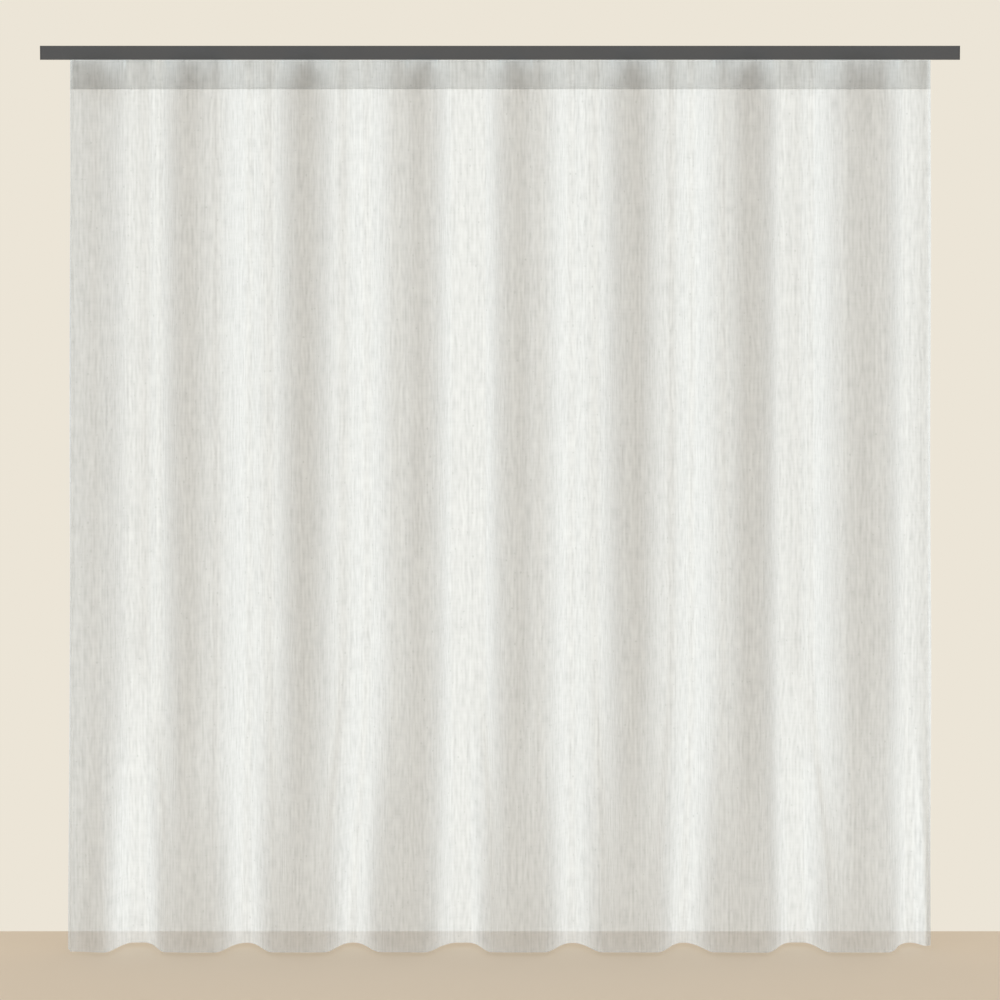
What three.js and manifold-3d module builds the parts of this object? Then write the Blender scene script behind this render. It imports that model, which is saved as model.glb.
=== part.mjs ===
// Sheer voile curtain in soft wave folds, hung by gliders from a slim box-section curtain rail.
// Millimetres, +Z up. X runs along the rail and -Y faces the room.
// The origin is the middle of the rail's flat top, where it is fixed to a bracket or a ceiling.
import * as THREE from "three";
import { mergeVertices } from "three/addons/utils/BufferGeometryUtils.js";
import Module from "manifold-3d";

const wasm = await Module();
wasm.setup();

// Clearance between pieces that touch on the real curtain
const GAP = 0.3;

// Rail: an extruded box section with a glider channel open at the bottom and a hollow chamber above it
const RAIL_LENGTH = 2500;
const RAIL_HEIGHT = 38;
const RAIL_DEPTH = 22;
const RAIL_WALL = 2;
const RAIL_CORNER = 1.2;
const SLOT_WIDTH = 8;
const CHANNEL_HEIGHT = 10;
const CORNER_STEPS = 3;

// End caps: a flush plate with a plug that pushes into the chamber
const CAP_THICKNESS = 3;
const PLUG_LENGTH = 12;

// Cloth: one panel of voile, and the heading tape sewn along the top of its back
const CLOTH_WIDTH = 2350;
const CLOTH_DROP = 2450;
const CLOTH_THICKNESS = 1.2;
const CLOTH_BELOW_RAIL = 2;
const TAPE_HEIGHT = 79;
const TAPE_THICKNESS = 1;

// Gliders: a runner in the channel, a neck through the slot and a tongue clipped behind the tape
const RUNNER = { length: 10, depth: 15, height: 6 };
const NECK_RADIUS = 2.4;
const NECK_SIDES = 12;
const TONGUE = { width: 6, thickness: 1.6, height: 22, rise: 1.2 };
const TONGUE_GAP = 0.8;

// Crests and shelves of the folds from left to right. x and y are the place along the rail and the depth
// from the rail's middle, which hold from the heading down, and hemX and hemY are the same at the hem.
// The first and the last lie past the side edges, which cut the cloth short of them.
const FOLDS = [
  { x: -1181, y: 100, hemX: -1186, hemY: 40 },
  { x: -1155, y: -84, hemX: -1163, hemY: -50 },
  { x: -1092, y: -84, hemX: -1070, hemY: -62 },
  { x: -1005, y: 5, hemX: -1002, hemY: 78 },
  { x: -964, y: 0, hemX: -975, hemY: 79 },
  { x: -929, y: 22, hemX: -907, hemY: -58 },
  { x: -850, y: -66, hemX: -845, hemY: -64 },
  { x: -772, y: -36, hemX: -772, hemY: -62 },
  { x: -687, y: 76, hemX: -693, hemY: 75 },
  { x: -625, y: 34, hemX: -617, hemY: -60 },
  { x: -527, y: -68, hemX: -543, hemY: -62 },
  { x: -432, y: 34, hemX: -475, hemY: -60 },
  { x: -364, y: 86, hemX: -402, hemY: 78 },
  { x: -274, y: 3, hemX: -323, hemY: -58 },
  { x: -198, y: -24, hemX: -206, hemY: -60 },
  { x: -128, y: 80, hemX: -114, hemY: 76 },
  { x: -90, y: 76, hemX: -87, hemY: 76 },
  { x: -46, y: 81, hemX: -22, hemY: -58 },
  { x: 30, y: -27, hemX: 33, hemY: -62 },
  { x: 103, y: 2, hemX: 122, hemY: -60 },
  { x: 196, y: 92, hemX: 198, hemY: 74 },
  { x: 266, y: 52, hemX: 277, hemY: -60 },
  { x: 353, y: -58, hemX: 350, hemY: -61 },
  { x: 465, y: 36, hemX: 427, hemY: -60 },
  { x: 524, y: 90, hemX: 503, hemY: 76 },
  { x: 609, y: -21, hemX: 581, hemY: -60 },
  { x: 690, y: -70, hemX: 723, hemY: -64 },
  { x: 769, y: 40, hemX: 801, hemY: 80 },
  { x: 810, y: 36, hemX: 826, hemY: 80 },
  { x: 850, y: 58, hemX: 894, hemY: -60 },
  { x: 940, y: -85, hemX: 964, hemY: -64 },
  { x: 1030, y: -74, hemX: 1049, hemY: -62 },
  { x: 1106, y: 22, hemX: 1122, hemY: 77 },
  { x: 1164, y: 12, hemX: 1163, hemY: 30 },
  { x: 1181, y: 50, hemX: 1186, hemY: 40 },
];

// Shape of the folds: fronts a little flatter than backs at the heading, a hem that falls open over the last
// part of the drop, where the backs are the flatter, and a panel that hangs a little wider at the hem
const FRONT_FLATNESS = 1;
const HEM_EASE_START = 0.65;
const HEM_FLARE = 0.02;

// Facets of the cloth
const STEPS_PER_FLANK = 8;
const STEPS_AT_SIDE = 5;
const CLOTH_ROWS = 8;
const HEM_CROWDING = 2;
const TAPE_ROWS = 1;

const CLOTH_TOP = -RAIL_HEIGHT - CLOTH_BELOW_RAIL;
const TAPE_OFFSET = CLOTH_THICKNESS / 2 + GAP + TAPE_THICKNESS / 2;
const TONGUE_OFFSET = TAPE_OFFSET + TAPE_THICKNESS / 2 + TONGUE_GAP + TONGUE.thickness / 2;

const railPaint = new THREE.MeshStandardMaterial({ color: 0x5a5957, roughness: 0.55, metalness: 0.3 });
const capPlastic = new THREE.MeshStandardMaterial({ color: 0x555452, roughness: 0.6, metalness: 0 });
const gliderPlastic = new THREE.MeshStandardMaterial({ color: 0xe6e5e0, roughness: 0.45, metalness: 0 });
const tapeWeave = new THREE.MeshStandardMaterial({ color: 0xd2d1cb, roughness: 0.9, metalness: 0 });
const voile = new THREE.MeshStandardMaterial({
  color: 0xe6e6e2,
  roughness: 0.9,
  metalness: 0,
  transparent: true,
  opacity: 0.6,
});

// A closed geometry as a solid for joining, and back again.
function toSolid(geometry) {
  geometry.deleteAttribute("normal");
  geometry.deleteAttribute("uv");
  const merged = mergeVertices(geometry);
  return new wasm.Manifold(
    new wasm.Mesh({
      numProp: 3,
      vertProperties: merged.attributes.position.array,
      triVerts: new Uint32Array(merged.index.array),
    }),
  );
}

function toGeometry(solid) {
  const { vertProperties, triVerts } = solid.getMesh();
  const geometry = new THREE.BufferGeometry();
  geometry.setAttribute("position", new THREE.BufferAttribute(vertProperties, 3));
  geometry.setIndex(new THREE.BufferAttribute(triVerts, 1));
  geometry.computeVertexNormals();
  return geometry;
}

function namedMesh(name, geometry, material) {
  const mesh = new THREE.Mesh(geometry, material);
  mesh.name = name;
  return mesh;
}

// Rail

// Places on the rail's section: a is depth, from the room to the wall, and b is height below the rail's top.
const half = RAIL_DEPTH / 2;
const innerHalf = half - RAIL_WALL;
const channelFloor = -RAIL_HEIGHT + RAIL_WALL;
const channelTop = channelFloor + CHANNEL_HEIGHT;
const chamberFloor = channelTop + RAIL_WALL;
const chamberHeight = -RAIL_WALL - chamberFloor;

function roundedSection(leaveSlot) {
  const section = new THREE.Shape();
  const side = half - RAIL_CORNER;
  section.absarc(side, -RAIL_CORNER, RAIL_CORNER, Math.PI / 2, 0, true);
  section.absarc(side, RAIL_CORNER - RAIL_HEIGHT, RAIL_CORNER, 0, -Math.PI / 2, true);
  if (leaveSlot) {
    section.lineTo(SLOT_WIDTH / 2, -RAIL_HEIGHT);
    section.lineTo(SLOT_WIDTH / 2, channelFloor);
    section.lineTo(innerHalf, channelFloor);
    section.lineTo(innerHalf, channelTop);
    section.lineTo(-innerHalf, channelTop);
    section.lineTo(-innerHalf, channelFloor);
    section.lineTo(-SLOT_WIDTH / 2, channelFloor);
    section.lineTo(-SLOT_WIDTH / 2, -RAIL_HEIGHT);
  }
  section.absarc(-side, RAIL_CORNER - RAIL_HEIGHT, RAIL_CORNER, -Math.PI / 2, -Math.PI, true);
  section.absarc(-side, -RAIL_CORNER, RAIL_CORNER, Math.PI, Math.PI / 2, true);
  return section;
}

function chamberOutline(inset) {
  const outline = new THREE.Path();
  outline.moveTo(-innerHalf + inset, chamberFloor + inset);
  outline.lineTo(innerHalf - inset, chamberFloor + inset);
  outline.lineTo(innerHalf - inset, chamberFloor + chamberHeight - inset);
  outline.lineTo(-innerHalf + inset, chamberFloor + chamberHeight - inset);
  outline.closePath();
  return outline;
}

// Extrudes a section along X, starting at startX.
function alongRail(section, startX, length) {
  const geometry = new THREE.ExtrudeGeometry(section, {
    depth: length,
    bevelEnabled: false,
    curveSegments: CORNER_STEPS,
  });
  geometry.rotateX(Math.PI / 2);
  geometry.rotateZ(Math.PI / 2);
  geometry.translate(startX, 0, 0);
  return geometry;
}

function makeRail() {
  const length = RAIL_LENGTH - 2 * (CAP_THICKNESS + GAP);
  const section = roundedSection(true);
  section.holes.push(chamberOutline(0));
  return namedMesh("rail", alongRail(section, -length / 2, length), railPaint);
}

function makeEndCap(name, isRight) {
  const plateStart = RAIL_LENGTH / 2 - CAP_THICKNESS;
  const plate = alongRail(roundedSection(false), plateStart, CAP_THICKNESS);
  const plugSection = new THREE.Shape(chamberOutline(GAP).getPoints());
  const plug = alongRail(plugSection, plateStart - PLUG_LENGTH, PLUG_LENGTH + CAP_THICKNESS / 2);
  const cap = namedMesh(name, toGeometry(toSolid(plate).add(toSolid(plug))), capPlastic);
  cap.rotation.z = isRight ? 0 : Math.PI;
  return cap;
}

// Folds

const smoothStep = (low, high, value) => THREE.MathUtils.smoothstep(value, low, high);

// How far the cloth at this height has eased from the shape of its heading to the shape of its hem.
const hemEase = (fall) => smoothStep(HEM_EASE_START, 1, fall);

const flare = (fall) => 1 + HEM_FLARE * fall;

// Share of the way from the front of a flank to its back, flatter at the front, for t from 0 to 1 along it.
function flankDepth(t) {
  const softRamp = (value) => Math.log(1 + Math.exp(FRONT_FLATNESS * value));
  return (softRamp(-Math.cos(Math.PI * t)) - softRamp(-1)) / (softRamp(1) - softRamp(-1));
}

// A crest or shelf in plan, at this height.
function foldMark(index, fall) {
  const { x, y, hemX, hemY } = FOLDS[index];
  const ease = hemEase(fall);
  const place = new THREE.Vector2(x, y).lerp(new THREE.Vector2(hemX, hemY), ease);
  place.x *= flare(fall);
  return place;
}

// The cloth's middle layer in plan. along counts fold marks from the left, and fall runs from 0 at the top
// to 1 at the hem.
function foldPoint(along, fall) {
  const index = THREE.MathUtils.clamp(Math.floor(along), 0, FOLDS.length - 2);
  const t = along - index;
  const left = foldMark(index, fall);
  const right = foldMark(index + 1, fall);
  const flatFront = flankDepth(t);
  const flatBack = 1 - flankDepth(1 - t);
  const ease = left.y < right.y ? hemEase(fall) : 1 - hemEase(fall);
  const depthShare = THREE.MathUtils.lerp(flatFront, flatBack, ease);
  return new THREE.Vector2(
    THREE.MathUtils.lerp(left.x, right.x, t),
    THREE.MathUtils.lerp(left.y, right.y, depthShare),
  );
}

// Unit vector across the cloth, on its wall side.
function foldNormal(along, fall) {
  const step = 0.001;
  const tangent = foldPoint(along + step, fall).sub(foldPoint(along - step, fall));
  return new THREE.Vector2(-tangent.y, tangent.x).normalize();
}

// A point that stands offset behind the cloth's middle layer.
function layerPoint(along, fall, offset) {
  return foldPoint(along, fall).addScaledVector(foldNormal(along, fall), offset);
}

// The place between two fold marks where a measure of the cloth passes zero.
function findCrossing(low, high, measure) {
  const risesFromLow = measure(low) < 0;
  for (let halving = 0; halving < 40; halving++) {
    const middle = (low + high) / 2;
    if (measure(middle) < 0 === risesFromLow) low = middle;
    else high = middle;
  }
  return (low + high) / 2;
}

const LAST_FLANK = FOLDS.length - 2;
const sideX = (fall) => (CLOTH_WIDTH / 2) * flare(fall);
const leftEdge = (fall) => findCrossing(0, 1, (along) => foldPoint(along, fall).x + sideX(fall));
const rightEdge = (fall) =>
  findCrossing(LAST_FLANK, LAST_FLANK + 1, (along) => foldPoint(along, fall).x - sideX(fall));

const FULL_FLANKS = LAST_FLANK - 1;
const CLOTH_COLUMNS = FULL_FLANKS * STEPS_PER_FLANK + 2 * STEPS_AT_SIDE;

// Column number to a count of fold marks, with the cut flanks at the two sides taking a few columns each.
function columnPlace(column, fall) {
  if (column < STEPS_AT_SIDE) {
    return THREE.MathUtils.lerp(leftEdge(fall), 1, column / STEPS_AT_SIDE);
  }
  const pastFirst = column - STEPS_AT_SIDE;
  const pastLast = pastFirst - FULL_FLANKS * STEPS_PER_FLANK;
  if (pastLast > 0) {
    return THREE.MathUtils.lerp(LAST_FLANK, rightEdge(fall), pastLast / STEPS_AT_SIDE);
  }
  return 1 + pastFirst / STEPS_PER_FLANK;
}

// Bends a flat strip into the folds: offset places it across the cloth and height is how far it hangs.
// Its rows crowd towards the bottom, where the folds change shape.
function hangStrip(offset, thickness, height, rows) {
  const strip = new THREE.BoxGeometry(1, 1, 1, CLOTH_COLUMNS, 1, rows);
  const position = strip.getAttribute("position");
  for (let i = 0; i < position.count; i++) {
    const column = Math.round((position.getX(i) + 0.5) * CLOTH_COLUMNS);
    const drop = (1 - Math.pow(0.5 + position.getZ(i), HEM_CROWDING)) * height;
    const fall = drop / CLOTH_DROP;
    const across = offset + position.getY(i) * thickness;
    const point = layerPoint(columnPlace(column, fall), fall, across);
    position.setXYZ(i, point.x, point.y, CLOTH_TOP - drop);
  }
  strip.deleteAttribute("normal");
  strip.deleteAttribute("uv");
  const closed = mergeVertices(strip);
  closed.computeVertexNormals();
  return closed;
}

// Gliders

// Each glider sits where the back of the tape passes under the middle of the rail.
function gliderPlaces() {
  const behindTape = (along) => layerPoint(along, 0, TONGUE_OFFSET).y;
  const places = [];
  for (let flank = 0; flank <= LAST_FLANK; flank++) {
    const passesUnder = behindTape(flank) * behindTape(flank + 1) < 0;
    if (passesUnder) places.push(findCrossing(flank, flank + 1, behindTape));
  }
  return places;
}

function makeGlider(name, along) {
  const normal = foldNormal(along, 0);
  const runnerBottom = channelFloor + GAP;
  const neckBottom = CLOTH_TOP + GAP;
  const neckHeight = runnerBottom + RUNNER.height / 2 - neckBottom;
  const runner = new THREE.BoxGeometry(RUNNER.length, RUNNER.depth, RUNNER.height);
  runner.translate(0, 0, runnerBottom + RUNNER.height / 2);
  const neck = new THREE.CylinderGeometry(NECK_RADIUS, NECK_RADIUS, neckHeight, NECK_SIDES);
  neck.rotateX(Math.PI / 2);
  neck.translate(0, 0, neckBottom + neckHeight / 2);
  const tongue = new THREE.BoxGeometry(TONGUE.width, TONGUE.thickness, TONGUE.height);
  tongue.translate(0, 0, neckBottom + TONGUE.rise - TONGUE.height / 2);
  tongue.rotateZ(Math.atan2(-normal.x, normal.y));
  const glider = namedMesh(
    name,
    toGeometry(toSolid(runner).add(toSolid(neck)).add(toSolid(tongue))),
    gliderPlastic,
  );
  glider.position.x = layerPoint(along, 0, TONGUE_OFFSET).x;
  return glider;
}

// Assembly
const curtain = new THREE.Group();
curtain.add(makeRail());
curtain.add(makeEndCap("end_cap_left", false));
curtain.add(makeEndCap("end_cap_right", true));
const panel = hangStrip(0, CLOTH_THICKNESS, CLOTH_DROP, CLOTH_ROWS);
const tape = hangStrip(TAPE_OFFSET, TAPE_THICKNESS, TAPE_HEIGHT, TAPE_ROWS);
curtain.add(namedMesh("voile_panel", panel, voile));
curtain.add(namedMesh("heading_tape", tape, tapeWeave));
gliderPlaces().forEach((along, index) => {
  curtain.add(makeGlider(`glider_${String(index + 1).padStart(2, "0")}`, along));
});

export default curtain;
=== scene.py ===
import math

import bpy
import numpy as np
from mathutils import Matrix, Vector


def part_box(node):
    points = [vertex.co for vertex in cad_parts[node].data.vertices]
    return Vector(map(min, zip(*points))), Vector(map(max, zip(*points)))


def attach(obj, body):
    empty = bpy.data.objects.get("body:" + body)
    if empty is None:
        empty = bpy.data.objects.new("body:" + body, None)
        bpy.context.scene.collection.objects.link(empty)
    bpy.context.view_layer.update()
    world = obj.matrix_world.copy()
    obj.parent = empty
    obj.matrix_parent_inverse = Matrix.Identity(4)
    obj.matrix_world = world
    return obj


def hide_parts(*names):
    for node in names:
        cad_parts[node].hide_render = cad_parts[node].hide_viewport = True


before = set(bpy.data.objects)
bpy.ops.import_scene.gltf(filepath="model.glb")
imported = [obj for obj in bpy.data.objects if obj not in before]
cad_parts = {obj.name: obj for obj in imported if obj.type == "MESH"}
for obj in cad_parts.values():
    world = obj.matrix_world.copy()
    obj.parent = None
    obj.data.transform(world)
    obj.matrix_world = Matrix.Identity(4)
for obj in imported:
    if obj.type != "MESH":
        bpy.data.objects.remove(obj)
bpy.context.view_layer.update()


# Voile panel: one wide width of sheer slub voile, hung full drop in soft, uneven wave folds.
# Fine off-white polyester yarn, loosely woven, with long thick and thin places in the warp.
# The sides are its woven selvedges, the bottom is cut straight, and the top comes up close under the rail.
PANEL_WIDTH = 2.350
RAIL_CLEARANCE = 0.0002
PANEL_SPREAD = 3.43
PANEL_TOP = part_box("rail")[0].z - RAIL_CLEARANCE
PANEL_DROP = PANEL_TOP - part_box("voile_panel")[0].z

# Crests and shelves of the folds from left to right. x and y are the place along the rail and the depth
# from the rail's middle, which hold from the heading down, and hem_x and hem_y are the same at the hem.
FOLDS = [
    {"x": -1.181, "y": 0.100, "hem_x": -1.186, "hem_y": 0.040},
    {"x": -1.155, "y": -0.084, "hem_x": -1.163, "hem_y": -0.050},
    {"x": -1.092, "y": -0.084, "hem_x": -1.070, "hem_y": -0.062},
    {"x": -1.005, "y": 0.005, "hem_x": -1.002, "hem_y": 0.078},
    {"x": -0.964, "y": 0.000, "hem_x": -0.975, "hem_y": 0.079},
    {"x": -0.929, "y": 0.022, "hem_x": -0.907, "hem_y": -0.058},
    {"x": -0.850, "y": -0.066, "hem_x": -0.845, "hem_y": -0.064},
    {"x": -0.772, "y": -0.036, "hem_x": -0.772, "hem_y": -0.062},
    {"x": -0.687, "y": 0.076, "hem_x": -0.693, "hem_y": 0.075},
    {"x": -0.625, "y": 0.034, "hem_x": -0.617, "hem_y": -0.060},
    {"x": -0.527, "y": -0.068, "hem_x": -0.543, "hem_y": -0.062},
    {"x": -0.432, "y": 0.034, "hem_x": -0.475, "hem_y": -0.060},
    {"x": -0.364, "y": 0.086, "hem_x": -0.402, "hem_y": 0.078},
    {"x": -0.274, "y": 0.003, "hem_x": -0.323, "hem_y": -0.058},
    {"x": -0.198, "y": -0.024, "hem_x": -0.206, "hem_y": -0.060},
    {"x": -0.128, "y": 0.080, "hem_x": -0.114, "hem_y": 0.076},
    {"x": -0.090, "y": 0.076, "hem_x": -0.087, "hem_y": 0.076},
    {"x": -0.046, "y": 0.081, "hem_x": -0.022, "hem_y": -0.058},
    {"x": 0.030, "y": -0.027, "hem_x": 0.033, "hem_y": -0.062},
    {"x": 0.103, "y": 0.002, "hem_x": 0.122, "hem_y": -0.060},
    {"x": 0.196, "y": 0.092, "hem_x": 0.198, "hem_y": 0.074},
    {"x": 0.266, "y": 0.052, "hem_x": 0.277, "hem_y": -0.060},
    {"x": 0.353, "y": -0.058, "hem_x": 0.350, "hem_y": -0.061},
    {"x": 0.465, "y": 0.036, "hem_x": 0.427, "hem_y": -0.060},
    {"x": 0.524, "y": 0.090, "hem_x": 0.503, "hem_y": 0.076},
    {"x": 0.609, "y": -0.021, "hem_x": 0.581, "hem_y": -0.060},
    {"x": 0.690, "y": -0.070, "hem_x": 0.723, "hem_y": -0.064},
    {"x": 0.769, "y": 0.040, "hem_x": 0.801, "hem_y": 0.080},
    {"x": 0.810, "y": 0.036, "hem_x": 0.826, "hem_y": 0.080},
    {"x": 0.850, "y": 0.058, "hem_x": 0.894, "hem_y": -0.060},
    {"x": 0.940, "y": -0.085, "hem_x": 0.964, "hem_y": -0.064},
    {"x": 1.030, "y": -0.074, "hem_x": 1.049, "hem_y": -0.062},
    {"x": 1.106, "y": 0.022, "hem_x": 1.122, "hem_y": 0.077},
    {"x": 1.164, "y": 0.012, "hem_x": 1.163, "hem_y": 0.030},
    {"x": 1.181, "y": 0.050, "hem_x": 1.186, "hem_y": 0.040},
]

# Fronts a little flatter than backs at the heading, a hem that falls open over the last part of the drop,
# where the backs are the flatter, and a panel that hangs a little wider at the hem.
FRONT_FLATNESS = 1
HEM_EASE_START = 0.65
HEM_FLARE = 0.02

# Slow unevenness below the still heading, and the fineness of the mesh.
STILL_HEADING = (0.10, 0.45)
RIPPLE_HEIGHT = 0.0006
RIPPLES = 9
RIPPLES_ACROSS = (9, 46)
RIPPLES_DOWN = (0.2, 1.6)
PANEL_COLUMNS = 640
HEADING_ROWS = 8
HEADING_REACH = 0.12
DROP_ROWS = 92
FLANK_STEPS = 24

# Yarn of the voile: the grain of its uneven places across and down the cut cloth, its thin and thick colours,
# the share of the cloth that it covers, how far a slub adds to that, and the share of light it lets through.
SLUB_GRAIN = (0.0063, 0.036)
LONG_SLUB_GRAIN = (0.0060, 0.160)
WARP_GRAIN = (0.0064, 6.0)
WEFT_GRAIN = (0.045, 0.006)
NEP_GRAIN = (0.008, 0.011)
THIN_YARN = (0.545, 0.548, 0.55, 1)
THICK_YARN = (0.334, 0.337, 0.338, 1)
YARN_COVER = 0.60
SLUB_COVER = 0.08
YARN_GLOW = 0.86
OPEN_WEAVE = (1, 1, 1, 1)

fold_x, fold_y, hem_x, hem_y = np.array([list(row.values()) for row in FOLDS]).T


def smooth_step(low, high, value):
    """Share from 0 at low to 1 at high, eased at both ends."""
    t = np.clip((value - low) / (high - low), 0, 1)
    return t * t * (3 - 2 * t)


def flank_depth(t):
    """Share of the way from the front of a flank to its back, a little flatter at the front."""
    ramp, low, high = (np.log1p(np.exp(FRONT_FLATNESS * side)) for side in (-np.cos(np.pi * t), -1, 1))
    return (ramp - low) / (high - low)


fold_marks = np.linspace(0, len(FOLDS) - 1, (len(FOLDS) - 1) * FLANK_STEPS + 1)


def fold_plan(fall):
    """Plan of the hung cloth at each of fold_marks, at a height from fall 0 at the top to 1 at the hem."""
    left = np.minimum(fold_marks.astype(int), len(FOLDS) - 2)
    t = fold_marks - left
    ease = smooth_step(HEM_EASE_START, 1, fall)
    x = (fold_x + (hem_x - fold_x) * ease) * (1 + HEM_FLARE * fall)
    y = fold_y + (hem_y - fold_y) * ease
    flat_front, flat_back = flank_depth(t), 1 - flank_depth(1 - t)
    to_back = flat_front + (flat_back - flat_front) * ease
    to_front = flat_back + (flat_front - flat_back) * ease
    depth_share = np.where(y[left] < y[left + 1], to_back, to_front)
    return x[left] + (x[left + 1] - x[left]) * t, y[left] + (y[left + 1] - y[left]) * depth_share


def even_columns(columns):
    """Places x of evenly spaced columns of the cloth, measured along its folded top from side to side."""
    x, y = fold_plan(0)
    length = np.concatenate([[0], np.cumsum(np.hypot(np.diff(x), np.diff(y)))])
    side_to_side = np.interp([-PANEL_WIDTH / 2, PANEL_WIDTH / 2], x, length)
    return np.interp(np.linspace(*side_to_side, columns + 1), length, x)


def across_cloth(columns, fall):
    """Points x, y and wall-side directions of upright columns of the cloth at one height."""
    plan_x, plan_y = fold_plan(fall)
    x = columns * (1 + HEM_FLARE * fall)
    y = np.interp(x, plan_x, plan_y)
    slope = np.interp(x, plan_x, np.gradient(plan_y, plan_x))
    direction = np.array([-slope, np.ones(len(x))]) / np.hypot(slope, 1)
    return x, y, direction


def ripples(shares, drop):
    """Slow unevenness of cloth that has been folded, washed and hung."""
    draws = np.random.default_rng(11)
    push = np.zeros_like(shares)
    for _ in range(RIPPLES):
        waves_across = draws.uniform(*RIPPLES_ACROSS)
        waves_down = draws.uniform(*RIPPLES_DOWN)
        phase = draws.uniform(0, 2 * np.pi)
        push += np.sin(2 * np.pi * (waves_across * shares + waves_down * drop) + phase)
    return RIPPLE_HEIGHT * push / math.sqrt(RIPPLES / 2)


panel_shares = np.linspace(0, 1, PANEL_COLUMNS + 1)
panel_columns = even_columns(PANEL_COLUMNS)
panel_drops = np.concatenate([
    np.linspace(0, HEADING_REACH, HEADING_ROWS, endpoint=False),
    np.linspace(HEADING_REACH, PANEL_DROP, DROP_ROWS + 1),
])
panel_points = np.zeros((len(panel_drops), len(panel_shares), 3))
panel_backs = np.zeros_like(panel_points)
for row, drop in enumerate(panel_drops):
    fall = drop / PANEL_DROP
    x, y, direction = across_cloth(panel_columns, fall)
    push = ripples(panel_shares, drop) * smooth_step(*STILL_HEADING, drop)
    panel_points[row, :, 0] = x + direction[0] * push
    panel_points[row, :, 1] = y + direction[1] * push
    panel_points[row, :, 2] = PANEL_TOP - drop
    panel_backs[row, :, :2] = direction.T


def on_panel(share, drop, behind):
    """Points on the hung cloth at shares of its width and drops below its top, some way behind it."""
    column = np.clip(np.asarray(share) * PANEL_COLUMNS, 0, PANEL_COLUMNS - 1e-6)
    row = np.clip(np.interp(drop, panel_drops, np.arange(len(panel_drops))), 0, len(panel_drops) - 1 - 1e-6)
    c, r = column.astype(int), np.asarray(row).astype(int)
    u, v = (column - c)[..., None], (row - r)[..., None]

    def between(grid):
        top = grid[r, c] * (1 - u) + grid[r, c + 1] * u
        low = grid[r + 1, c] * (1 - u) + grid[r + 1, c + 1] * u
        return top * (1 - v) + low * v

    return between(panel_points) + between(panel_backs) * np.asarray(behind)[..., None]


def grid_piece(name, points, cut_places):
    """A smooth sheet from a grid of points, which keeps each point's place on the flat cut cloth."""
    rows, columns = points.shape[:2]
    corner = (np.arange(rows - 1)[:, None] * columns + np.arange(columns - 1)).ravel()
    faces = np.stack([corner, corner + columns, corner + columns + 1, corner + 1], 1)
    mesh = bpy.data.meshes.new(name)
    mesh.from_pydata(points.reshape(-1, 3).tolist(), [], faces.tolist())
    mesh.shade_smooth()
    place = mesh.attributes.new("cut_place", "FLOAT_VECTOR", "POINT")
    place.data.foreach_set("vector", cut_places.reshape(-1, 3).astype(np.float32).ravel())
    piece = bpy.data.objects.new(name, mesh)
    bpy.context.scene.collection.objects.link(piece)
    return piece


share_grid, drop_grid = np.meshgrid(panel_shares, panel_drops)
cut_grid = np.stack([share_grid * PANEL_SPREAD, drop_grid, drop_grid * 0], 2)
voile_panel = grid_piece("voile_cloth", panel_points, cut_grid)


def new_finish(name):
    """A material with an empty node tree."""
    finish = bpy.data.materials.new(name)
    finish.use_nodes = True
    finish.node_tree.nodes.clear()
    return finish, finish.node_tree


def add(tree, kind, sockets=None, **settings):
    """A node with its settings, and its sockets set to values or linked to other sockets."""
    node = tree.nodes.new(kind)
    for key, value in settings.items():
        setattr(node, key, value)
    for socket, value in (sockets or {}).items():
        if isinstance(value, bpy.types.NodeSocket):
            tree.links.new(value, node.inputs[socket])
        else:
            node.inputs[socket].default_value = value
    return node


def maths(tree, operation, first, second=0.0, clamp=False):
    """The result of one sum on values or sockets."""
    return add(tree, "ShaderNodeMath", {0: first, 1: second}, operation=operation, use_clamp=clamp).outputs[0]


def yarn_noise(tree, place, size, seed, detail=0.0):
    """Noise from -0.5 to 0.5 whose grains are size metres across and down the cut cloth."""
    grains = (1 / size[0], 1 / size[1], 0)
    shift = (seed, 2 * seed, 0)
    spot = add(tree, "ShaderNodeVectorMath", {0: place, 1: grains, 2: shift}, operation="MULTIPLY_ADD")
    noise = add(tree, "ShaderNodeTexNoise", {"Vector": spot.outputs[0], "Scale": 1.0, "Detail": detail},
                noise_dimensions="2D")
    return maths(tree, "SUBTRACT", noise.outputs["Fac"], 0.5)


def mixed_yarns(tree, parts):
    """Sum of noises, each times its weight."""
    total = None
    for noise, weight in parts:
        part = maths(tree, "MULTIPLY", noise, weight)
        total = part if total is None else maths(tree, "ADD", total, part)
    return total


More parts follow.
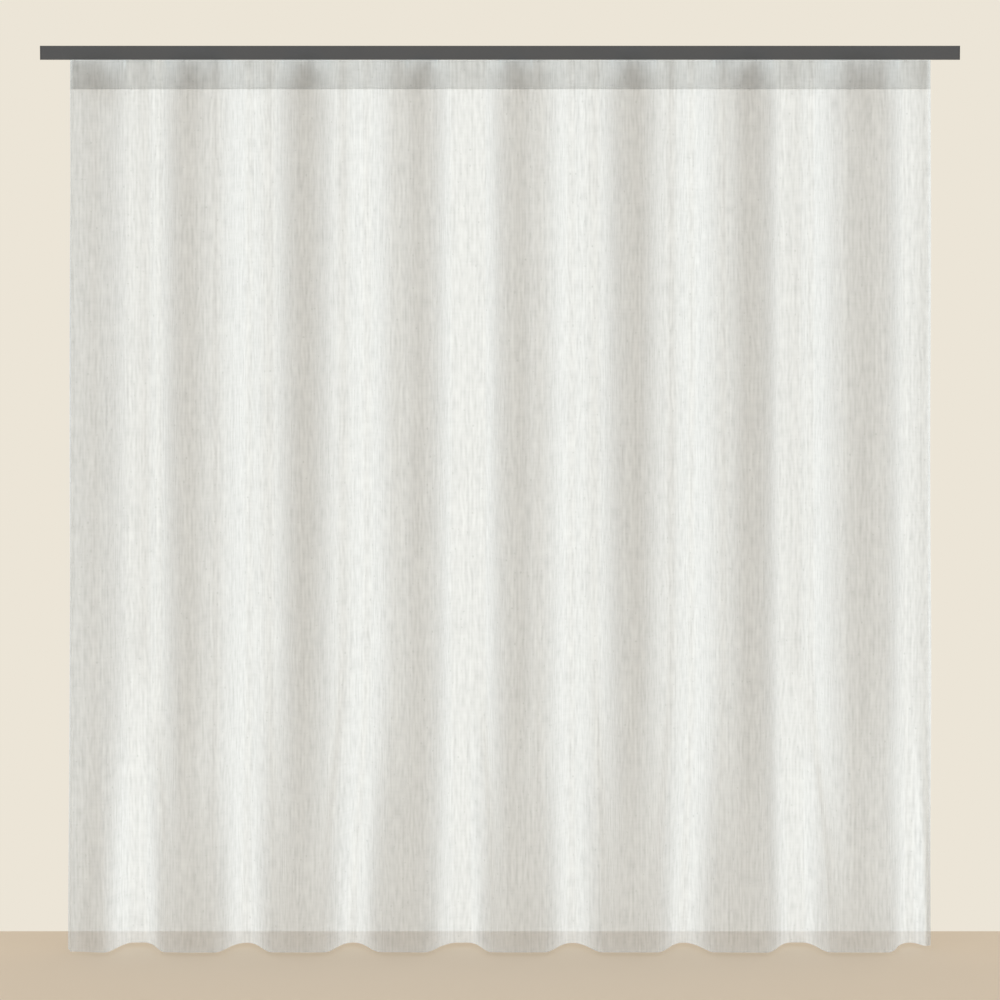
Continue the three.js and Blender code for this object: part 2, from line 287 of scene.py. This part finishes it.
def voile_finish():
    finish, tree = new_finish("slub_voile")
    place = add(tree, "ShaderNodeAttribute", attribute_name="cut_place").outputs["Vector"]
    slub = yarn_noise(tree, place, SLUB_GRAIN, 3.1)
    warp = mixed_yarns(tree, [
        (slub, 1.1),
        (yarn_noise(tree, place, LONG_SLUB_GRAIN, 17.3), 0.8),
        (yarn_noise(tree, place, WARP_GRAIN, 29.7), 0.3),
        (yarn_noise(tree, place, WEFT_GRAIN, 41.9), 0.3),
    ])
    nep = maths(tree, "SUBTRACT", yarn_noise(tree, place, NEP_GRAIN, 67.1), 0.30, clamp=True)
    thickness = mixed_yarns(tree, [(warp, 1.0), (nep, 6.0)])
    cover = maths(tree, "ADD", maths(tree, "MULTIPLY", thickness, SLUB_COVER), YARN_COVER, clamp=True)
    tone = add(tree, "ShaderNodeMapRange", {"Value": thickness, "From Min": -0.85, "From Max": 0.85})
    roughness = add(tree, "ShaderNodeMapRange", {"Value": tone.outputs[0], "To Min": 0.72, "To Max": 0.9})
    bump = add(tree, "ShaderNodeBump", {"Height": slub, "Strength": 0.4, "Distance": 0.0005})
    colour = add(tree, "ShaderNodeMix", {
        "Factor": tone.outputs[0],
        "A": THIN_YARN,
        "B": THICK_YARN,
    }, data_type="RGBA")
    yarn = add(tree, "ShaderNodeBsdfPrincipled", {
        "Base Color": colour.outputs["Result"],
        "Roughness": roughness.outputs[0],
        "Specular IOR Level": 0.0,
        "Normal": bump.outputs[0],
    })
    glow = add(tree, "ShaderNodeBsdfTranslucent", {
        "Color": colour.outputs["Result"],
        "Normal": bump.outputs[0],
    })
    lit = add(tree, "ShaderNodeMixShader", {0: YARN_GLOW, 1: yarn.outputs[0], 2: glow.outputs[0]})
    gaps = add(tree, "ShaderNodeBsdfTransparent", {"Color": OPEN_WEAVE})
    cloth = add(tree, "ShaderNodeMixShader", {0: cover, 1: gaps.outputs[0], 2: lit.outputs[0]})
    add(tree, "ShaderNodeOutputMaterial", {"Surface": cloth.outputs[0]})
    return finish


voile_panel.data.materials.append(voile_finish())
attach(voile_panel, "root")
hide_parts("voile_panel")


# Heading tape: a woven polyester tape sewn flat behind the top of the panel.
# It is closer woven than the voile, so the heading shows as a greyer band with a straight lower edge.
# Warp threads run along it in fine lines and the weft crosses them, both a little uneven.
TAPE_TOP = 0.0003
TAPE_HEIGHT = 0.079
TAPE_BEHIND = 0.0014
TAPE_ROWS = 12
TAPE_WARP_GRAIN = (0.030, 0.0016)
TAPE_WEFT_GRAIN = (0.0016, 0.010)
TAPE_CLOUD_GRAIN = (0.05, 0.03)
TAPE_LIGHT = (0.58, 0.557, 0.52, 1)
TAPE_DARK = (0.50, 0.48, 0.447, 1)
TAPE_COVER = 0.64
THREAD_COVER = 0.15
TAPE_GLOW = 0.6

tape_drop_lines = np.linspace(TAPE_TOP, TAPE_TOP + TAPE_HEIGHT, TAPE_ROWS + 1)
tape_shares, tape_drops = np.meshgrid(panel_shares, tape_drop_lines)
tape_cut = np.stack([tape_shares * PANEL_SPREAD, tape_drops, tape_drops * 0], 2)
tape_points = on_panel(tape_shares, tape_drops, np.full_like(tape_drops, TAPE_BEHIND))
heading_tape = grid_piece("woven_tape", tape_points, tape_cut)


def tape_finish():
    finish, tree = new_finish("woven_tape")
    place = add(tree, "ShaderNodeAttribute", attribute_name="cut_place").outputs["Vector"]
    threads = mixed_yarns(tree, [
        (yarn_noise(tree, place, TAPE_WEFT_GRAIN, 5.7), 0.8),
        (yarn_noise(tree, place, TAPE_WARP_GRAIN, 23.9), 0.8),
        (yarn_noise(tree, place, TAPE_CLOUD_GRAIN, 37.1), 0.4),
    ])
    cover = maths(tree, "ADD", maths(tree, "MULTIPLY", threads, THREAD_COVER), TAPE_COVER, clamp=True)
    tone = add(tree, "ShaderNodeMapRange", {"Value": threads, "From Min": -0.6, "From Max": 0.6})
    colour = add(tree, "ShaderNodeMix", {
        "Factor": tone.outputs[0],
        "A": TAPE_LIGHT,
        "B": TAPE_DARK,
    }, data_type="RGBA")
    roughness = add(tree, "ShaderNodeMapRange", {"Value": tone.outputs[0], "To Min": 0.72, "To Max": 0.88})
    bump = add(tree, "ShaderNodeBump", {"Height": threads, "Strength": 0.4, "Distance": 0.0004})
    weave = add(tree, "ShaderNodeBsdfPrincipled", {
        "Base Color": colour.outputs["Result"],
        "Roughness": roughness.outputs[0],
        "Specular IOR Level": 0.2,
        "Normal": bump.outputs[0],
    })
    glow = add(tree, "ShaderNodeBsdfTranslucent", {
        "Color": colour.outputs["Result"],
        "Normal": bump.outputs[0],
    })
    lit = add(tree, "ShaderNodeMixShader", {0: TAPE_GLOW, 1: weave.outputs[0], 2: glow.outputs[0]})
    gaps = add(tree, "ShaderNodeBsdfTransparent", {"Color": OPEN_WEAVE})
    cloth = add(tree, "ShaderNodeMixShader", {0: cover, 1: gaps.outputs[0], 2: lit.outputs[0]})
    add(tree, "ShaderNodeOutputMaterial", {"Surface": cloth.outputs[0]})
    return finish


heading_tape.data.materials.append(tape_finish())
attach(heading_tape, "root")
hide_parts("heading_tape")


# Stitching: two rows of machine stitches that hold the tape to the voile, near its top and bottom edges.
# Off-white spun polyester thread, pulled tight so that each stitch lies low on the cloth, front and back.
STITCH_LENGTH = 0.0032
STITCH_PITCH = 0.0040
STITCH_RADIUS = 0.00028
STITCH_DROPS = [TAPE_TOP + 0.004, TAPE_TOP + TAPE_HEIGHT - 0.003]
STITCH_LAYERS = [-0.0003, TAPE_BEHIND + 0.0003]
THREAD_TWIST = 1800.0
THREAD_LIGHT = (0.80, 0.795, 0.77, 1)
THREAD_DARK = (0.70, 0.695, 0.67, 1)
THREAD_GLOW = 0.75


def stitch_row(drop, behind):
    """Corners of a row of stitches: for each its two ends, then four points round its middle."""
    starts = np.arange(STITCH_PITCH, PANEL_SPREAD - STITCH_PITCH, STITCH_PITCH)
    first, middle, last = (
        on_panel((starts + step * STITCH_LENGTH) / PANEL_SPREAD, starts * 0 + drop, starts * 0 + behind)
        for step in (0, 0.5, 1)
    )
    along = last - first
    out = np.cross(along, (0, 0, 1))
    out *= STITCH_RADIUS / np.linalg.norm(out, axis=1)[:, None]
    up = np.array((0, 0, STITCH_RADIUS))
    return np.stack([first, last, middle + out, middle + up, middle - out, middle - up], 1)


stitch_rows = [stitch_row(drop, behind) for drop in STITCH_DROPS for behind in STITCH_LAYERS]
stitch_corners = np.concatenate(stitch_rows)
stitch_faces = [(0, a, b) for a, b in ((2, 3), (3, 4), (4, 5), (5, 2))]
stitch_faces += [(1, b, a) for _, a, b in stitch_faces]
all_faces = (np.arange(len(stitch_corners))[:, None, None] * 6 + np.array(stitch_faces)).reshape(-1, 3)
stitch_mesh = bpy.data.meshes.new("tape_stitching")
stitch_mesh.from_pydata(stitch_corners.reshape(-1, 3).tolist(), [], all_faces.tolist())
stitch_mesh.shade_smooth()
stitching = bpy.data.objects.new("tape_stitching", stitch_mesh)
bpy.context.scene.collection.objects.link(stitching)


def thread_finish():
    finish, tree = new_finish("sewing_thread")
    place = add(tree, "ShaderNodeTexCoord").outputs["Object"]
    twist = add(tree, "ShaderNodeTexNoise", {"Vector": place, "Scale": THREAD_TWIST, "Detail": 1.0})
    colour = add(tree, "ShaderNodeMix", {
        "Factor": twist.outputs["Fac"],
        "A": THREAD_LIGHT,
        "B": THREAD_DARK,
    }, data_type="RGBA")
    roughness = add(tree, "ShaderNodeMapRange", {"Value": twist.outputs["Fac"], "To Min": 0.6, "To Max": 0.8})
    bump = add(tree, "ShaderNodeBump", {"Height": twist.outputs["Fac"], "Strength": 0.4, "Distance": 0.0001})
    thread = add(tree, "ShaderNodeBsdfPrincipled", {
        "Base Color": colour.outputs["Result"],
        "Roughness": roughness.outputs[0],
        "Specular IOR Level": 0.2,
        "Normal": bump.outputs[0],
    })
    glow = add(tree, "ShaderNodeBsdfTranslucent", {"Color": colour.outputs["Result"]})
    lit = add(tree, "ShaderNodeMixShader", {0: THREAD_GLOW, 1: thread.outputs[0], 2: glow.outputs[0]})
    add(tree, "ShaderNodeOutputMaterial", {"Surface": lit.outputs[0]})
    return finish


stitch_mesh.materials.append(thread_finish())
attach(stitching, "root")


# Gliders: small milky white nylon mouldings that slide in the rail's channel.
# Each has a runner in the channel, a neck through the slot and a tongue clipped behind the tape.
SOFT_EDGE = 0.0003
SOFT_EDGE_ANGLE = 40
NYLON_MOTTLE = 900.0
NYLON_LIGHT = (0.78, 0.77, 0.73, 1)
NYLON_DARK = (0.72, 0.71, 0.67, 1)
NYLON_GLOW = 0.6
NYLON_COVER = 0.5


def glider_finish():
    finish, tree = new_finish("glider_plastic")
    place = add(tree, "ShaderNodeTexCoord").outputs["Object"]
    mottle = add(tree, "ShaderNodeTexNoise", {"Vector": place, "Scale": NYLON_MOTTLE, "Detail": 2.0})
    roughness = add(tree, "ShaderNodeMapRange", {
        "Value": mottle.outputs["Fac"],
        "To Min": 0.35,
        "To Max": 0.55,
    })
    colour = add(tree, "ShaderNodeMix", {
        "Factor": mottle.outputs["Fac"],
        "A": NYLON_LIGHT,
        "B": NYLON_DARK,
    }, data_type="RGBA")
    bump = add(tree, "ShaderNodeBump", {
        "Height": mottle.outputs["Fac"],
        "Strength": 0.1,
        "Distance": 0.0001,
    })
    plastic = add(tree, "ShaderNodeBsdfPrincipled", {
        "Base Color": colour.outputs["Result"],
        "Roughness": roughness.outputs[0],
        "Normal": bump.outputs[0],
    })
    glow = add(tree, "ShaderNodeBsdfTranslucent", {"Color": colour.outputs["Result"]})
    milky = add(tree, "ShaderNodeMixShader", {0: NYLON_GLOW, 1: plastic.outputs[0], 2: glow.outputs[0]})
    clear = add(tree, "ShaderNodeBsdfTransparent", {"Color": (1, 1, 1, 1)})
    nylon = add(tree, "ShaderNodeMixShader", {0: NYLON_COVER, 1: clear.outputs[0], 2: milky.outputs[0]})
    add(tree, "ShaderNodeOutputMaterial", {"Surface": nylon.outputs[0]})
    return finish


def dress(node, finish, soft_edge=0.0):
    """Gives a solid of the frame its finish, and the slightly soft edges of a moulding where it has them."""
    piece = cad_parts[node]
    piece.data.materials.clear()
    piece.data.materials.append(finish)
    if soft_edge:
        rounding = piece.modifiers.new("soft_edges", "BEVEL")
        rounding.width = soft_edge
        rounding.segments = 2
        rounding.limit_method = "ANGLE"
        rounding.angle_limit = math.radians(SOFT_EDGE_ANGLE)


white_plastic = glider_finish()
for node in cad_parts:
    if node.startswith("glider_"):
        dress(node, white_plastic, SOFT_EDGE)


# Rail: a slim extruded aluminium box section, open underneath for the gliders, fixed by its flat top.
# Dark grey powder coat with a satin face and the fine orange-peel of sprayed powder.
POWDER_GRAIN = 700.0
POWDER_CLOUD = 6.0
RAIL_LIGHT = (0.136, 0.134, 0.129, 1)
RAIL_DARK = (0.122, 0.120, 0.116, 1)


def powder_coat():
    finish, tree = new_finish("rail_paint")
    place = add(tree, "ShaderNodeTexCoord").outputs["Object"]
    grain = add(tree, "ShaderNodeTexNoise", {"Vector": place, "Scale": POWDER_GRAIN, "Detail": 3.0})
    cloud = add(tree, "ShaderNodeTexNoise", {"Vector": place, "Scale": POWDER_CLOUD, "Detail": 2.0})
    colour = add(tree, "ShaderNodeMix", {
        "Factor": cloud.outputs["Fac"],
        "A": RAIL_LIGHT,
        "B": RAIL_DARK,
    }, data_type="RGBA")
    roughness = add(tree, "ShaderNodeMapRange", {
        "Value": grain.outputs["Fac"],
        "To Min": 0.48,
        "To Max": 0.66,
    })
    bump = add(tree, "ShaderNodeBump", {"Height": grain.outputs["Fac"], "Strength": 0.15, "Distance": 0.0002})
    paint = add(tree, "ShaderNodeBsdfPrincipled", {
        "Base Color": colour.outputs["Result"],
        "Roughness": roughness.outputs[0],
        "Specular IOR Level": 0.3,
        "Normal": bump.outputs[0],
    })
    add(tree, "ShaderNodeOutputMaterial", {"Surface": paint.outputs[0]})
    return finish


dress("rail", powder_coat())


# End caps: moulded plastic plates in the rail's grey, pushed into the ends of the rail.
# Their surface is a fine matt texture from the mould.
CAP_GRAIN = 1500.0
CAP_LIGHT = (0.105, 0.104, 0.102, 1)
CAP_DARK = (0.093, 0.092, 0.090, 1)


def cap_plastic():
    finish, tree = new_finish("cap_plastic")
    place = add(tree, "ShaderNodeTexCoord").outputs["Object"]
    grain = add(tree, "ShaderNodeTexNoise", {"Vector": place, "Scale": CAP_GRAIN, "Detail": 2.0})
    colour = add(tree, "ShaderNodeMix", {
        "Factor": grain.outputs["Fac"],
        "A": CAP_LIGHT,
        "B": CAP_DARK,
    }, data_type="RGBA")
    roughness = add(tree, "ShaderNodeMapRange", {
        "Value": grain.outputs["Fac"],
        "To Min": 0.52,
        "To Max": 0.7,
    })
    bump = add(tree, "ShaderNodeBump", {"Height": grain.outputs["Fac"], "Strength": 0.2, "Distance": 0.0001})
    plastic = add(tree, "ShaderNodeBsdfPrincipled", {
        "Base Color": colour.outputs["Result"],
        "Roughness": roughness.outputs[0],
        "Specular IOR Level": 0.3,
        "Normal": bump.outputs[0],
    })
    add(tree, "ShaderNodeOutputMaterial", {"Surface": plastic.outputs[0]})
    return finish


grey_plastic = cap_plastic()
dress("end_cap_left", grey_plastic, SOFT_EDGE)
dress("end_cap_right", grey_plastic, SOFT_EDGE)


# Floor: a plain pale floor a little below the hem, in one warm matt colour.
# It ends a short way behind the curtain, where the pale room begins.
FLOOR_DROP = 0.012
FLOOR_SIZE = (7.0, 4.0)
FLOOR_BACK = 0.302
FLOOR_COLOUR = (0.82, 0.69, 0.54, 1)

floor_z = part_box("voile_panel")[0].z - FLOOR_DROP
floor_mesh = bpy.data.meshes.new("floor")
floor_front = FLOOR_BACK - FLOOR_SIZE[1]
floor_corners = [
    (side * FLOOR_SIZE[0] / 2, y, floor_z)
    for side, y in ((-1, floor_front), (1, floor_front), (1, FLOOR_BACK), (-1, FLOOR_BACK))
]
floor_mesh.from_pydata(floor_corners, [], [(0, 1, 2, 3)])
floor = bpy.data.objects.new("floor", floor_mesh)
bpy.context.scene.collection.objects.link(floor)
floor_finish, floor_tree = new_finish("pale_floor")
floor_paint = add(floor_tree, "ShaderNodeBsdfPrincipled", {"Base Color": FLOOR_COLOUR, "Roughness": 0.9})
add(floor_tree, "ShaderNodeOutputMaterial", {"Surface": floor_paint.outputs[0]})
floor.data.materials.append(floor_finish)


# Light: a pale room that is brighter and warmer behind the curtain, with two broad soft lights from behind
# at the sides and a fainter one straight behind. Each has an azimuth, a height and a strength.
# These three light the cloth, its tape and the gliders, and the room lights the rest.
BACK_SKY = (0.838, 0.783, 0.680, 1)
FRONT_SKY = (0.70, 0.72, 0.75, 1)
SIDE_LIGHTS = [(-66, 13, 4.9), (66, 13, 4.9), (0, 13, 1.0)]
SIDE_LIGHT_SPREAD = 50
SIDE_LIGHT_COLOUR = (0.84, 0.94, 1.0)

bpy.context.scene.view_settings.view_transform = "Standard"
world = bpy.data.worlds.new("pale_room")
bpy.context.scene.world = world
world.use_nodes = True
world.node_tree.nodes.clear()
looking = add(world.node_tree, "ShaderNodeTexCoord").outputs["Generated"]
towards = add(world.node_tree, "ShaderNodeSeparateXYZ", {0: looking}).outputs["Y"]
backness = add(world.node_tree, "ShaderNodeMapRange", {"Value": towards, "From Min": -0.4, "From Max": 0.4},
               interpolation_type="SMOOTHSTEP")
sky = add(world.node_tree, "ShaderNodeMix", {"Factor": backness.outputs[0], "A": FRONT_SKY, "B": BACK_SKY},
          data_type="RGBA")
room = add(world.node_tree, "ShaderNodeBackground", {"Color": sky.outputs["Result"], "Strength": 1.0})
add(world.node_tree, "ShaderNodeOutputWorld", {"Surface": room.outputs[0]})


def leave_out(name, pieces):
    """A set of pieces that a light passes by."""
    group = bpy.data.collections.new(name)
    for piece in pieces:
        group.objects.link(piece)
    for member in group.collection_objects:
        member.light_linking.link_state = "EXCLUDE"
    return group


painted_pieces = [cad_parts[node] for node in ("rail", "end_cap_left", "end_cap_right")]
gliders = [piece for node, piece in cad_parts.items() if node.startswith("glider_")]
unlit = leave_out("unlit", [floor] + painted_pieces)
shadowless = leave_out("shadowless", [floor] + painted_pieces + gliders)
for azimuth, height, strength in SIDE_LIGHTS:
    lamp = bpy.data.lights.new("side_light", "SUN")
    lamp.energy = strength
    lamp.angle = math.radians(SIDE_LIGHT_SPREAD)
    lamp.color = SIDE_LIGHT_COLOUR
    side_light = bpy.data.objects.new("side_light", lamp)
    bpy.context.scene.collection.objects.link(side_light)
    side_light.rotation_euler = (math.radians(height - 90), 0, math.radians(-azimuth))
    side_light.light_linking.receiver_collection = unlit
    side_light.light_linking.blocker_collection = shadowless


# Camera: level with the heading and a long way off, tilted down to hold the whole curtain.
# The lens sets the top of the rail and the lowest part of the hem at their heights in the picture.
CAMERA_DISTANCE = 12.1
CAMERA_HEIGHT = -0.06
RAIL_TOP_PIXEL = 46
HEM_PIXEL = 954.5
IMAGE_SIZE = 1000
SENSOR = 36

rail_low, rail_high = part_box("rail")
cloth_low, cloth_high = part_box("voile_panel")
rail_angle = math.atan2(rail_high.z - CAMERA_HEIGHT, rail_low.y + CAMERA_DISTANCE)
hem_angle = math.atan2(cloth_low.z - CAMERA_HEIGHT, cloth_low.y + CAMERA_DISTANCE)
focal_pixels = (HEM_PIXEL - RAIL_TOP_PIXEL) / 2 / math.tan((rail_angle - hem_angle) / 2)
camera_data = bpy.data.cameras.new("camera")
camera_data.sensor_width = SENSOR
camera_data.lens = SENSOR * focal_pixels / IMAGE_SIZE
camera_data.clip_end = 100
camera = bpy.data.objects.new("camera", camera_data)
bpy.context.scene.collection.objects.link(camera)
camera.location = (0, -CAMERA_DISTANCE, CAMERA_HEIGHT)
camera.rotation_euler = (math.pi / 2 + (rail_angle + hem_angle) / 2, 0, 0)
bpy.context.scene.camera = camera
